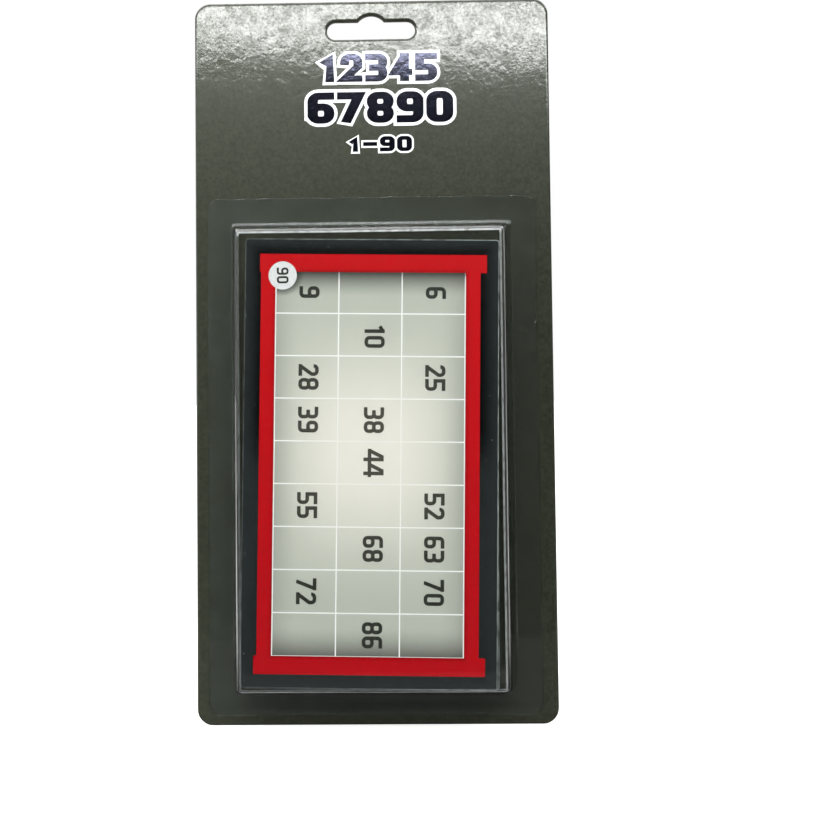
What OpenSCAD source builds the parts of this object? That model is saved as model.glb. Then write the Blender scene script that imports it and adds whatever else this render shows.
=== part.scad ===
// A hanging pack of twelve bingo cards: a stiff backing card with a hang slot, a clear formed
// blister sealed to its front, and twelve loose bingo cards stacked in the blister.
// X runs to the right, Z up, and the printed front faces -Y. The origin is the middle of the
// hang slot, on the back of the backing card.

/* [Bingo cards] */
// Width of a bingo card
card_w = 84.5; // [70:0.5:110]
// Height of a bingo card as it lies in the pack
card_h = 148; // [125:0.5:180]
// Radius of a bingo card's corners
card_corner_r = 1; // [0.5:0.1:3]
// Thickness of a bingo card's board
board_t = 1.5; // [1:0.05:2]
// Thickness of the printed sheet on the board
face_t = 0.15; // [0.08:0.01:0.3]
// Air between one card and the next
card_air = 0.1; // [0.08:0.01:0.2]
// Turn of the front card in the pack, clockwise, in degrees
front_turn = 1.1; // [0.6:0.1:1.4]
// How much less some of the cards behind it are turned, in degrees
turn_scatter = 0.5; // [0:0.1:0.6]
// How far the front card lies left of the bubble's middle
front_shift = 0.3; // [-0.3:0.05:0.4]
// How far the cards behind it lie to either side of it
side_scatter = 0.4; // [0:0.05:0.4]

/* [Printed face] */
// From the top of a bingo card down to its red frame
frame_drop = 5.1; // [3:0.1:7]
// From the red frame down to the bottom of the card
frame_foot = 4.45; // [3:0.05:7]
// From the left side of a bingo card to the frame's left strip
frame_left = 5.35; // [3:0.05:7]
// From the end of the frame's bars to the right side of the card
frame_right = 4.08; // [1:0.01:7]
// Height of the frame's top and bottom bars
bar_h = 6; // [4:0.1:8]
// How much of the top row of cells the top bar covers
top_row_cover = 0.35; // [0:0.05:2]
// Width of the frame's side strips
strip_w = 5; // [4:0.05:7]
// How far both bars reach past the right strip
bar_overhang = 2.1; // [0:0.1:3]
// How far the top bar reaches past the left strip
top_bar_lap = 0.4; // [0:0.1:2]
// How far the bottom bar reaches past the left strip
bottom_bar_lap = 1; // [0:0.1:2]
// Width of the lines between the cells
line_w = 0.42; // [0.2:0.02:0.8]
// Height of the printed digits
digit_h = 6.7; // [5:0.1:8]
// Width of the printed digits
digit_w = 3.9; // [3:0.1:4.6]
// Width of the digits' strokes
stroke_w = 1.2; // [0.7:0.05:1.25]
// Space between the two digits of a number
digit_gap = 0.7; // [0.3:0.05:1]
// How far the bar of a 4 reaches past the width of a digit, on either side
four_lap = 0.4; // [0:0.05:0.5]
// How far the numbers sit above the middle of their cells, as they are read
number_rise = 0.7; // [0:0.1:1.5]
// How much further the middle row of numbers sits above it
middle_rise = 0.8; // [0:0.1:1]
// Thickness of a coat of ink
ink_t = 0.05; // [0.02:0.01:0.08]

/* [Blister] */
// How much wider than a bingo card the bubble is where it leaves the flange
bubble_side_room = 15.3; // [14.8:0.1:24]
// How much higher than a bingo card the bubble is where it leaves the flange
bubble_end_room = 15.2; // [14.2:0.1:24]
// Air between the front card and the bubble's front
front_room = 0.8; // [0.4:0.05:4]
// How far each side wall leans in from the flange to the front
bubble_draft = 5; // [3:0.1:5.2]
// Radius of the bubble's front edges
bubble_edge_r = 1.5; // [0.8:0.1:2]
// Radius of the bubble's corners at the flange
bubble_foot_r = 1; // [0.6:0.1:2]
// Thickness of the clear sheet
sheet_t = 0.45; // [0.25:0.05:0.6]
// Gap between a card's lowest corner and the bubble's bottom wall
rest_gap = 0.3; // [0.1:0.05:0.5]
// Width of the sealed flange to either side of the bubble
flange_side = 8.6; // [6:0.1:14]
// Height of the flange above the bubble
flange_over = 9; // [6:0.1:14]
// Height of the flange under the bubble
flange_under = 10.2; // [6:0.1:14]
// Radius of the flange's corners
flange_corner_r = 4.3; // [1:0.1:5]
// Thickness of the heat-seal coat under the flange
seal_t = 0.05; // [0.02:0.01:0.15]

/* [Backing card] */
// Width of the backing card beside the flange, on either side
side_margin = 5; // [2:0.1:12]
// How far the blister sits left of the middle of the backing card
blister_shift = 0.6; // [-1:0.1:1.5]
// Height of the header, from the top of the backing card down to the flange
header_h = 71; // [40:0.5:110]
// Height of the backing card under the flange
foot_margin = 3.6; // [2:0.1:12]
// Thickness of the backing card
backing_t = 1.6; // [0.6:0.1:3]
// Radius of its four corners
backing_corner_r = 5.5; // [1:0.5:8]

/* [Hang slot] */
// Length of the hang slot, end to end
slot_l = 31.75; // [24:0.25:40]
// Height of the hang slot at its ends
slot_w = 6.35; // [5:0.05:9]
// Width of the dome over the middle of the slot
dome_w = 9.4; // [6:0.1:12]
// Rise of the dome above the slot
dome_rise = 2.25; // [1:0.05:3]
// From the top of the backing card down to the middle of the slot
slot_drop = 10.6; // [9:0.1:16]

/* [Hidden] */
$fn = 48;
hull_fn = 32;
overrun = 0.5;
golden_turn = 137.5;

cards = 12;
columns = 9;
rows = 3;
// The front card's numbers, one list for each row of the card as it is read. A 0 is a blank cell.
front_numbers = [
    [6, 0, 25, 0, 0, 52, 63, 70, 0],
    [0, 10, 0, 38, 44, 0, 68, 0, 86],
    [9, 0, 28, 39, 0, 55, 0, 72, 0]
];

function two_digits(n) = str(n < 10 ? "0" : "", n);
function card_name(n, piece) = str("bingo_card_", two_digits(n), "_", piece);
front_name = function(piece) card_name(cards, piece);

card_t = board_t + face_t;
card_pitch = card_t + card_air;
cell_w = (card_w - frame_left - 2 * strip_w - bar_overhang - frame_right) / rows;
cell_h = (card_h - frame_drop - 2 * bar_h - frame_foot + top_row_cover) / columns;
cells_w = rows * cell_w;
cells_h = columns * cell_h - top_row_cover;
cells_left = -card_w / 2 + frame_left + strip_w;
cells_top = card_h / 2 - frame_drop - bar_h;
digit_r_share = 0.42;
four_bar_share = 0.3;
digit_r = digit_r_share * digit_w;

// The bubble is made round the stack, the flange round the bubble, and the backing card round both
bubble_w = card_w + bubble_side_room;
bubble_h = card_h + bubble_end_room;
bubble_depth = cards * card_pitch + 2 * ink_t + front_room + sheet_t;
flange_w = bubble_w + 2 * flange_side;
flange_h = flange_over + bubble_h + flange_under;
backing_w = flange_w + 2 * side_margin;
backing_h = header_h + flange_h + foot_margin;

// The origin is the middle of the slot, and depths are counted from the front of the backing card
backing_mid_z = slot_drop - backing_h / 2;
flange_mid_z = slot_drop - header_h - flange_h / 2;
bubble_mid_z = slot_drop - header_h - flange_over - bubble_h / 2;
bubble_slope = bubble_draft / bubble_depth;
draft_angle = atan(bubble_slope);
wall_across = sheet_t / cos(draft_angle);
edge_depth = bubble_depth - bubble_edge_r;
inner_edge_r = bubble_edge_r - sheet_t;
// The dome over the slot is part of a circle through its two feet and its top
dome_r = (pow(dome_w / 2, 2) + pow(dome_rise, 2)) / (2 * dome_rise);

// Where the inside of the bubble's bottom wall lies at a given depth
function floor_z(depth) =
    bubble_mid_z - bubble_h / 2 + wall_across + bubble_slope * (depth + 2 * ink_t - seal_t);
function card_front(n) = n * card_pitch;
function card_turn(n) = front_turn - turn_scatter * (1 - cos(golden_turn * (cards - n))) / 2;
function card_x(n) = -blister_shift - front_shift + side_scatter * sin(golden_turn * (cards - n));
// Each loose card has slid down until its lowest corner rests on the leaning bottom wall
function card_z(n) =
    floor_z(card_front(n)) + rest_gap
    + (card_h * cos(card_turn(n)) + card_w * sin(card_turn(n))) / 2;

module slab(depth, thickness) {
    translate([0, -backing_t - depth, 0]) rotate([90, 0, 0]) linear_extrude(thickness) children();
}

module round_rect(w, h, r) {
    square([w - 2 * r, h], center = true);
    square([w, h - 2 * r], center = true);
    for (x = [-1, 1], z = [-1, 1]) translate([x * (w / 2 - r), z * (h / 2 - r)]) circle(r);
}

module hang_slot() {
    square([slot_l - slot_w, slot_w], center = true);
    for (x = [-1, 1]) translate([x * (slot_l - slot_w) / 2, 0]) circle(d = slot_w);
    intersection() {
        translate([0, slot_w / 2 + dome_rise - dome_r]) circle(dome_r);
        translate([-dome_w / 2 - overrun, 0])
            square([dome_w + 2 * overrun, slot_w / 2 + dome_rise + overrun]);
    }
}

module backing_card() {
    color([0.24, 0.25, 0.22]) slab(-backing_t, backing_t) difference() {
        translate([0, backing_mid_z]) round_rect(backing_w, backing_h, backing_corner_r);
        hang_slot();
    }
}

module flange_outline() {
    translate([-blister_shift, flange_mid_z]) round_rect(flange_w, flange_h, flange_corner_r);
}

module bubble_foot(inset) {
    translate([-blister_shift, bubble_mid_z])
        round_rect(bubble_w - 2 * inset, bubble_h - 2 * inset, bubble_foot_r);
}

module heat_seal_coat() {
    color([0.42, 0.43, 0.4]) slab(0, seal_t) difference() {
        flange_outline();
        bubble_foot(wall_across);
    }
}

// A closed body with leaning sides: a foot that is straight as far as foot_depth, and four balls
// that round the front edges and corners
module bubble_body(inset, foot_from, foot_depth, r) {
    half_w = bubble_w / 2 - inset - bubble_slope * (edge_depth - foot_depth) - r / cos(draft_angle);
    half_h = bubble_h / 2 - inset - bubble_slope * (edge_depth - foot_depth) - r / cos(draft_angle);
    hull() {
        slab(seal_t + foot_from, foot_depth - foot_from) bubble_foot(inset, $fn = hull_fn);
        for (x = [-1, 1], z = [-1, 1])
            translate([
                x * half_w - blister_shift,
                -backing_t - seal_t - edge_depth,
                bubble_mid_z + z * half_h
            ]) sphere(r, $fn = hull_fn);
    }
}

module blister_shell() {
    color([0.8, 0.88, 0.9, 0.35]) difference() {
        union() {
            slab(seal_t, sheet_t) flange_outline();
            bubble_body(0, 0, sheet_t, bubble_edge_r);
        }
        bubble_body(wall_across, -overrun, 0, inner_edge_r);
    }
}

// Puts a flat shape on card n, in the card's own turned frame, with the shape's back at the
// given height above the back of the card
module on_card(n, height, thickness) {
    slab(card_front(n) - card_t + height, thickness)
        translate([card_x(n), card_z(n)]) rotate(-card_turn(n)) children();
}

module board(n) {
    color([0.55, 0.52, 0.46]) on_card(n, 0, board_t) round_rect(card_w, card_h, card_corner_r);
}

module face_sheet(n) {
    color([0.07, 0.1, 0.1]) on_card(n, board_t, face_t) round_rect(card_w, card_h, card_corner_r);
}

module red_frame() {
    strip_left = cells_left - strip_w;
    frame_w = cells_w + 2 * strip_w;
    color([0.78, 0.07, 0.1]) on_card(cards, card_t, ink_t) {
        for (x = [strip_left, cells_left + cells_w])
            translate([x, cells_top - cells_h]) square([strip_w, cells_h]);
        translate([strip_left - top_bar_lap, cells_top])
            square([frame_w + top_bar_lap + bar_overhang, bar_h]);
        translate([strip_left - bottom_bar_lap, cells_top - cells_h - bar_h])
            square([frame_w + bottom_bar_lap + bar_overhang, bar_h]);
    }
}

// Puts a shape at the middle of the cell that is read at the given row and column. The card is
// printed across its long side, so it stands turned a quarter turn clockwise in the pack.
module in_cell(row, column) {
    translate([
        cells_left + cells_w - (row + 0.5) * cell_w,
        cells_top + top_row_cover - (column + 0.5) * cell_h
    ]) rotate(-90) children();
}

module number_cells() {
    color([0.82, 0.84, 0.8]) on_card(cards, card_t, ink_t) intersection() {
        union() for (row = [0:rows - 1], column = [0:columns - 1])
            in_cell(row, column) square([cell_h - line_w, cell_w - line_w], center = true);
        translate([cells_left, cells_top - cells_h]) square([cells_w, cells_h]);
    }
}

module numbers() {
    color([0.17, 0.17, 0.17]) on_card(cards, card_t + ink_t, ink_t)
        for (row = [0:rows - 1], column = [0:columns - 1])
            if (front_numbers[row][column] > 0)
                in_cell(row, column)
                    translate([0, number_rise + (row == 1 ? middle_rise : 0)])
                        number(front_numbers[row][column]);
}

module number(value) {
    tens = floor(value / 10);
    advance = digit_w + digit_gap;
    if (tens > 0) translate([-advance / 2, 0]) digit(tens);
    translate([tens > 0 ? advance / 2 : 0, 0]) digit(value % 10);
}

// A straight stroke of the pen with square ends, between two points
module pen(from, to) {
    span = to - from;
    translate(from) rotate(atan2(span[1], span[0]))
        translate([0, -stroke_w / 2]) square([norm(span), stroke_w]);
}

// A closed loop of the pen with round corners, h high and with its foot at z
module loop(z, h) {
    translate([0, z + h / 2]) difference() {
        round_rect(digit_w, h, digit_r);
        round_rect(digit_w - 2 * stroke_w, h - 2 * stroke_w, digit_r - stroke_w);
    }
}

// The part of a shape inside a box that is as wide as the digit, between two shares of its width
module window(left_share, right_share, low, high) {
    intersection() {
        children();
        translate([(left_share - 0.5) * digit_w, low])
            square([(right_share - left_share) * digit_w, high - low]);
    }
}

// One digit of the printed numbers, with its middle at the origin. Slanted strokes are cut off
// square at the top and the foot.
module digit(value) {
    lap_share = value == 4 ? four_lap / digit_w : 0;
    translate([0, -digit_h / 2]) window(-lap_share, 1 + lap_share, 0, digit_h) strokes(value);
}

module strokes(value) {
    mid = (digit_h + stroke_w) / 2;
    half_w = digit_w / 2;
    pen_mid = stroke_w / 2;
    if (value == 0) loop(0, digit_h);
    if (value == 1) {
        stem_x = half_w - 1.5 * pen_mid;
        pen([stem_x, 0], [stem_x, digit_h]);
        pen([stem_x, digit_h - pen_mid], [stem_x - digit_r, digit_h - digit_r]);
    }
    if (value == 2) {
        bend = [half_w - pen_mid, digit_h - mid + digit_r];
        window(0, 1, mid + digit_r - pen_mid, digit_h) loop(digit_h - mid, mid);
        window(0.5, 1, bend[1], digit_h) loop(digit_h - mid, mid);
        translate(bend) circle(d = stroke_w);
        pen(bend, [pen_mid - half_w, pen_mid]);
        pen([-half_w, pen_mid], [half_w, pen_mid]);
    }
    if (value == 3) {
        window(0.5, 1, 0, digit_h) loop(0, mid);
        window(0.5, 1, 0, digit_h) loop(digit_h - mid, mid);
        for (z = [pen_mid, digit_h - pen_mid]) pen([-half_w, z], [0, z]);
        pen([-half_w / 2, digit_h / 2], [0, digit_h / 2]);
    }
    if (value == 4) {
        reach = half_w + four_lap;
        bar_z = four_bar_share * digit_h;
        stem_x = reach - stroke_w;
        top = [stem_x - pen_mid, digit_h];
        left = [pen_mid - reach, bar_z];
        pen([-reach, bar_z], [reach, bar_z]);
        pen([stem_x, 0], [stem_x, digit_h]);
        pen(top + (top - left) * stroke_w / norm(top - left), left);
    }
    if (value == 5) {
        window(0.5, 1, 0, digit_h) loop(0, mid);
        pen([-half_w, pen_mid], [0, pen_mid]);
        pen([-half_w, mid - pen_mid], [0, mid - pen_mid]);
        pen([pen_mid - half_w, mid - stroke_w], [pen_mid - half_w, digit_h]);
        pen([-half_w, digit_h - pen_mid], [half_w, digit_h - pen_mid]);
    }
    if (value == 6) six();
    if (value == 7) {
        pen([-half_w, digit_h - pen_mid], [half_w, digit_h - pen_mid]);
        pen([half_w - pen_mid, digit_h - pen_mid], [-half_w / 2, 0]);
    }
    if (value == 8) {
        loop(0, mid);
        loop(digit_h - mid, mid);
    }
    if (value == 9) translate([0, digit_h]) rotate(180) six();
}

module six() {
    loop(0, (digit_h + stroke_w) / 2);
    window(0, 0.5, digit_h / 3, digit_h) loop(0, digit_h);
    pen([0, digit_h - stroke_w / 2], [digit_w / 2, digit_h - stroke_w / 2]);
}

backing_card();
heat_seal_coat();
blister_shell();
for (n = [1:cards]) board(n);
for (n = [1:cards]) face_sheet(n);
red_frame();
number_cells();
numbers();
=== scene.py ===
# A hanging pack of bingo cards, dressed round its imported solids. X runs to the right, Z up, and the
# printed front faces -Y. Sizes are in millimetres and the objects in metres. The sections follow the
# pack as it is put together: backing card, title, seal, loose cards, their print, blister, studio.
import math
import random

import bmesh
import bpy
import mathutils
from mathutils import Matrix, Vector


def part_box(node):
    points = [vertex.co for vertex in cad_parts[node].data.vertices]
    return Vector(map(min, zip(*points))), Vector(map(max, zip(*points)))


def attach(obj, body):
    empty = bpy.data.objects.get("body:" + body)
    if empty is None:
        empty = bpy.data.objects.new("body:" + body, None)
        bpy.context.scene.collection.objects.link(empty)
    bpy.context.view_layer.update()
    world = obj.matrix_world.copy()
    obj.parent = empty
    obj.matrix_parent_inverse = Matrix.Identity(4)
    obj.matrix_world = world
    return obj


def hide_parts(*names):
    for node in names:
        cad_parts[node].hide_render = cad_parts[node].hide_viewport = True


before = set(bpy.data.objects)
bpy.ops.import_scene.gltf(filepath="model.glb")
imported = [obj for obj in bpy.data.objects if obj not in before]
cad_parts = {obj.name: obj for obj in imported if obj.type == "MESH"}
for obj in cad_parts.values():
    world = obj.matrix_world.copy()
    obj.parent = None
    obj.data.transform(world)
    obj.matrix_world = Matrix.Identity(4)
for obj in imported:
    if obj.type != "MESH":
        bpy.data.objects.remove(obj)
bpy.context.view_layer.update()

# ---- Backing card ----
# Thick board with a dark olive print under a glossy laminate. The die that cuts the card and its
# hang slot rolls the laminate over the front edge, and leaves bare grey board on the cut and back.
MM = 0.001
BACKING_THICK = 1.6
BACKING_MIDDLE, BACKING_HALF_W, BACKING_HALF_H, BACKING_CORNER = -117.9, 63.5, 128.5, 5.5


def make_piece(name, points, faces, finishes, finish_of=None, smooth_below=None):
    """A mesh from points in millimetres. finish_of gives each face's finish, and smooth_below the
    angle in degrees below which two faces are shaded as one surface."""
    mesh = bpy.data.meshes.new(name)
    mesh.from_pydata([(x * MM, y * MM, z * MM) for x, y, z in points], [], faces)
    for finish in finishes:
        mesh.materials.append(finish)
    if finish_of:
        for face, which in zip(mesh.polygons, finish_of):
            face.material_index = which
    if smooth_below:
        for face in mesh.polygons:
            face.use_smooth = True
        mesh.set_sharp_from_angle(angle=math.radians(smooth_below))
    mesh.update()
    piece = bpy.data.objects.new(name, mesh)
    bpy.context.scene.collection.objects.link(piece)
    return piece


def rounded_outline(mid_x, mid_z, half_w, half_h, radius, per_corner=8, per_side=1):
    """Points (x, z) anticlockwise round a rectangle with round corners, with per_corner steps round
    each corner and per_side along each side."""
    points = []
    for corner, (sx, sz) in enumerate([(1, 1), (-1, 1), (-1, -1), (1, -1)]):
        for step in range(per_corner + 1):
            turn = math.radians(90 * (corner + step / per_corner))
            points.append((mid_x + sx * (half_w - radius) + radius * math.cos(turn),
                           mid_z + sz * (half_h - radius) + radius * math.sin(turn)))
        if per_side > 1:
            nx, nz = [(-1, 1), (-1, -1), (1, -1), (1, 1)][corner]
            follow = math.radians(90 * (corner + 1))
            ax, az = points[-1]
            bx = mid_x + nx * (half_w - radius) + radius * math.cos(follow)
            bz = mid_z + nz * (half_h - radius) + radius * math.sin(follow)
            for step in range(1, per_side):
                share = step / per_side
                points.append((ax + (bx - ax) * share, az + (bz - az) * share))
    return points


def ring_faces(a, b, count):
    """Quads between two rings of count points each, which start at points a and b."""
    return [(a + i, a + (i + 1) % count, b + (i + 1) % count, b + i) for i in range(count)]


def slot_outline():
    """The hang slot: a long slot with round ends, and a dome over its middle."""
    end_r, arm, dome_half, rise = 3.175, 12.7, 4.7, 2.25
    dome_r = (dome_half ** 2 + rise ** 2) / (2 * rise)
    dome_z = end_r + rise - dome_r
    foot = math.degrees(math.asin((end_r - dome_z) / dome_r))
    points = [(arm + end_r * math.cos(math.radians(a)), end_r * math.sin(math.radians(a)))
              for a in range(-90, 91, 12)]
    for step in range(13):
        a = math.radians(foot + (180 - 2 * foot) * step / 12)
        points.append((dome_r * math.cos(a), dome_z + dome_r * math.sin(a)))
    points += [(-arm + end_r * math.cos(math.radians(a)), end_r * math.sin(math.radians(a)))
               for a in range(90, 271, 12)]
    return points


def inset(outline, distance):
    """The outline moved to its left by a distance, with its corners kept."""
    moved = []
    for i, (x, z) in enumerate(outline):
        (ax, az), (bx, bz) = outline[i - 1], outline[(i + 1) % len(outline)]
        ux, uz, vx, vz = x - ax, z - az, bx - x, bz - z
        ul, vl = math.hypot(ux, uz) or 1, math.hypot(vx, vz) or 1
        nx, nz = -uz / ul - vz / vl, ux / ul + vx / vl
        length = math.hypot(nx, nz) or 1
        nx, nz = nx / length, nz / length
        stretch = 1 / max(0.5, nx * -uz / ul + nz * ux / ul)
        moved.append((x + nx * distance * stretch, z + nz * distance * stretch))
    return moved


def tone(red, green, blue):
    """A printed colour from 0 to 255, as the linear colour that a shader takes."""
    return tuple(((c / 255 + 0.055) / 1.055) ** 2.4 if c > 10 else c / 3295 for c in (red, green, blue))


def new_finish(name, colour, roughness, **sockets):
    """A material with one Principled shader. What is the same all over sits on its own sockets."""
    finish = bpy.data.materials.new(name)
    finish.use_nodes = True
    shader = finish.node_tree.nodes["Principled BSDF"]
    shader.inputs["Base Color"].default_value = (*colour, 1)
    shader.inputs["Roughness"].default_value = roughness
    for socket, value in sockets.items():
        shader.inputs[socket.replace("_", " ")].default_value = value
    return finish, finish.node_tree, shader


def put(tree, kind, wires=None, **settings):
    """A node of a kind with its settings. wires gives each input a value, or the output feeding it."""
    node = tree.nodes.new(kind)
    for setting, value in settings.items():
        setattr(node, setting, value)
    for socket, source in (wires or {}).items():
        if isinstance(source, bpy.types.NodeSocket):
            tree.links.new(source, node.inputs[socket])
        else:
            node.inputs[socket].default_value = source
    return node


def wire(tree, shader, **sources):
    """Feeds the named sockets of a shader."""
    for socket, source in sources.items():
        tree.links.new(source, shader.inputs[socket.replace("_", " ")])


def own_place(tree):
    """Where a point lies on its object, in metres."""
    return put(tree, "ShaderNodeTexCoord").outputs["Object"]


def axes(tree, place):
    return put(tree, "ShaderNodeSeparateXYZ", {"Vector": place}).outputs


def reckon(tree, how, *values):
    return put(tree, "ShaderNodeMath", dict(enumerate(values)), operation=how).outputs[0]


def times(tree, a, b):
    return reckon(tree, "MULTIPLY", a, b)


def spread(tree, value, start, stop, low=0.0, high=1.0, **settings):
    """low where the value is at start, high where it is at stop, and evenly between them."""
    return put(tree, "ShaderNodeMapRange", {"Value": value, "From Min": start, "From Max": stop, "To Min": low,
                                            "To Max": high}, **settings).outputs["Result"]


def blend(tree, share, one, other):
    """A share of another colour over one. A colour is a tone, or an output."""
    one, other = ((*colour, 1) if isinstance(colour, tuple) else colour for colour in (one, other))
    mixed = put(tree, "ShaderNodeMix", {"Factor": share, "A": one, "B": other}, data_type="RGBA")
    return mixed.outputs["Result"]


def speckle(tree, place, scale, detail, rough=0.5):
    return put(tree, "ShaderNodeTexNoise", {"Vector": place, "Scale": scale, "Detail": detail,
                                            "Roughness": rough}).outputs["Fac"]


def new_group(name, takes, gives):
    """An empty node group. takes and gives list its sockets as (name, kind, value)."""
    group = bpy.data.node_groups.new(name, "ShaderNodeTree")
    for socket, kind, value in takes:
        made = group.interface.new_socket(name=socket, in_out="INPUT", socket_type="NodeSocket" + kind)
        if value is not None:
            made.default_value = value
    for socket, kind in gives:
        group.interface.new_socket(name=socket, in_out="OUTPUT", socket_type="NodeSocket" + kind)
    return group, group.nodes.new("NodeGroupInput"), group.nodes.new("NodeGroupOutput")


# Unevenness of a coated surface at three scales: grain, ripples and broad waves, each a depth in metres
coat_ripple, enter, leave = new_group(
    "coat_ripple",
    [("Place", "Vector", None),
     ("Grain", "Float", 900.0), ("Ripples", "Float", 300.0), ("Waves", "Float", 60.0),
     ("Grain Depth", "Float", 0.00002), ("Ripple Depth", "Float", 0.00005), ("Wave Depth", "Float", 0.0001)],
    [("Height", "Float"), ("Normal", "Vector")])
heights = []
for size, depth, detail in (("Grain", "Grain Depth", 1.0), ("Ripples", "Ripple Depth", 2.0),
                            ("Waves", "Wave Depth", 1.0)):
    noise = put(coat_ripple, "ShaderNodeTexNoise", {
        "Vector": enter.outputs["Place"], "Scale": enter.outputs[size], "Detail": detail, "Distortion": 0.6})
    heights.append(times(coat_ripple, noise.outputs["Fac"], enter.outputs[depth]))
    if size == "Ripples":
        wire(coat_ripple, leave, Height=noise.outputs["Fac"])
total = reckon(coat_ripple, "ADD", reckon(coat_ripple, "ADD", heights[0], heights[1]), heights[2])
bump = put(coat_ripple, "ShaderNodeBump", {"Height": total, "Strength": 1.0, "Distance": 1.0})
wire(coat_ripple, leave, Normal=bump.outputs["Normal"])


def rippled(tree, place, depths):
    """The outputs of the coat's unevenness, with its own depths."""
    return put(tree, "ShaderNodeGroup", {"Place": place, **depths}, node_tree=coat_ripple).outputs


# Bare recycled board: pressed layers with short fibres and darker flecks
board_fibre, enter, leave = new_group(
    "board_fibre",
    [("Place", "Vector", None), ("Flecks", "Float", 900.0), ("Layers", "Float", 0.0),
     ("Pale", "Color", (0.4, 0.37, 0.32, 1)), ("Dark", "Color", (0.2, 0.18, 0.15, 1))],
    [("Color", "Color"), ("Height", "Float")])
place, fleck_size = enter.outputs["Place"], enter.outputs["Flecks"]
stretched = put(board_fibre, "ShaderNodeMapping", {"Vector": place, "Scale": (1.0, 6.0, 0.45)})
fibres = speckle(board_fibre, stretched.outputs["Vector"], fleck_size, 5.0, 0.7)
flecks = put(board_fibre, "ShaderNodeTexVoronoi", {"Vector": place, "Scale": fleck_size})
layers = put(board_fibre, "ShaderNodeTexWave", {"Vector": place, "Scale": 900.0, "Distortion": 3.0,
                                                "Detail": 2.0}, bands_direction="Y")
layered = reckon(board_fibre, "ADD", fibres,
                 times(board_fibre, layers.outputs["Fac"], enter.outputs["Layers"]))
most = reckon(board_fibre, "MAXIMUM", spread(board_fibre, layered, 0.35, 0.75),
              spread(board_fibre, flecks.outputs["Distance"], 0.0, 0.16, 1.0, 0.0))
wire(board_fibre, leave, Height=fibres,
     Color=blend(board_fibre, most, enter.outputs["Pale"], enter.outputs["Dark"]))

laminate, tree, shader = new_finish("olive_laminate", tone(45, 47, 38), 0.3, IOR=1.5, Specular_IOR_Level=0.35,
                                    Specular_Tint=(0.95, 1.0, 0.9, 1), Coat_Weight=1.0, Coat_Roughness=0.1,
                                    Coat_IOR=1.75)
where = own_place(tree)
LAMINATE_RIPPLE = {"Grain": 900.0, "Ripples": 300.0, "Waves": 45.0,
                   "Grain Depth": 0.000012, "Ripple Depth": 0.000035, "Wave Depth": 0.00005}
ripple = rippled(tree, where, LAMINATE_RIPPLE)
# Painted shade: the laminate's colour is darker towards the right, where less light falls
rightward = reckon(tree, "MULTIPLY_ADD", axes(tree, where)["X"], -2.2, speckle(tree, where, 950.0, 2.0))
# The laminate has taken unevenly on the print, so that its shine is cloudy and grained
cloudy = reckon(tree, "ADD", speckle(tree, where, 260.0, 2.0, 0.6), speckle(tree, where, 1100.0, 1.0, 0.6))
wire(tree, shader, Base_Color=blend(tree, rightward, tone(25, 27, 20), tone(57, 60, 48)),
     Roughness=spread(tree, ripple["Height"], 0.3, 0.7, 0.3, 0.35),
     Coat_Weight=spread(tree, cloudy, 0.75, 1.25, 0.35, 1.0),
     Normal=ripple["Normal"], Coat_Normal=ripple["Normal"])


def bare_board(name, pale, dark, flecks, layers):
    finish, tree, shader = new_finish(name, pale, 0.85, Specular_IOR_Level=0.25)
    fibre = put(tree, "ShaderNodeGroup", {"Place": own_place(tree), "Pale": (*pale, 1), "Dark": (*dark, 1),
                                          "Flecks": flecks, "Layers": layers}, node_tree=board_fibre)
    bump = put(tree, "ShaderNodeBump", {"Height": fibre.outputs["Height"], "Strength": 1.0,
                                        "Distance": 0.00004})
    wire(tree, shader, Base_Color=fibre.outputs["Color"], Normal=bump.outputs["Normal"])
    return finish


cut_board = bare_board("cut_board", tone(150, 146, 138), tone(96, 92, 86), 1500.0, 0.5)
back_board = bare_board("back_board", tone(178, 172, 160), tone(128, 121, 110), 700.0, 0.0)

# Each loop is (how far in from the cut, height above the back): the front is rolled, the back square.
# The first two and the last two are level, so that the broad faces are shaded flat.
roll = [(1.3, BACKING_THICK), (1.0, BACKING_THICK), (0.72, 1.585), (0.45, 1.53), (0.2, 1.4), (0.05, 1.2),
        (0, 0.95), (0, 0.2), (0.06, 0.06), (0.2, 0), (0.5, 0)]
ROLLED_STEPS, FRONT, CUT, BACK = 6, 0, 1, 2
points, faces, finish_of, caps = [], [], [], {FRONT: [], BACK: []}
card_outline = rounded_outline(0, BACKING_MIDDLE, BACKING_HALF_W, BACKING_HALF_H, BACKING_CORNER)
for outline in (card_outline, slot_outline()[::-1]):
    first, count = len(points), len(outline)
    for far_in, height in roll:
        points += [(x, -height, z) for x, z in inset(outline, far_in)]
    for step in range(len(roll) - 1):
        faces += ring_faces(first + step * count, first + (step + 1) * count, count)
        finish_of += [FRONT if step < ROLLED_STEPS else CUT if step < len(roll) - 2 else BACK] * count
    caps[FRONT].append(range(first, first + count))
    caps[BACK].append(range(first + (len(roll) - 1) * count, first + len(roll) * count))
backing = make_piece("backing_card_board", points, faces, [laminate, cut_board, back_board], finish_of)
mesh = bmesh.new()
mesh.from_mesh(backing.data)
mesh.verts.ensure_lookup_table()
for side, loops in caps.items():
    rims = [mesh.edges.get((mesh.verts[loop[i - 1]], mesh.verts[loop[i]]))
            for loop in loops for i in range(len(loop))]
    filled = bmesh.ops.triangle_fill(mesh, use_beauty=True, edges=rims)
    for face in filled["geom"]:
        if isinstance(face, bmesh.types.BMFace):
            face.material_index = side
bmesh.ops.recalc_face_normals(mesh, faces=mesh.faces)
for face in mesh.faces:
    face.smooth = True
mesh.to_mesh(backing.data)
mesh.free()
backing.data.set_sharp_from_angle(angle=math.radians(40))
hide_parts("backing_card")
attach(backing, "backing")

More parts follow.
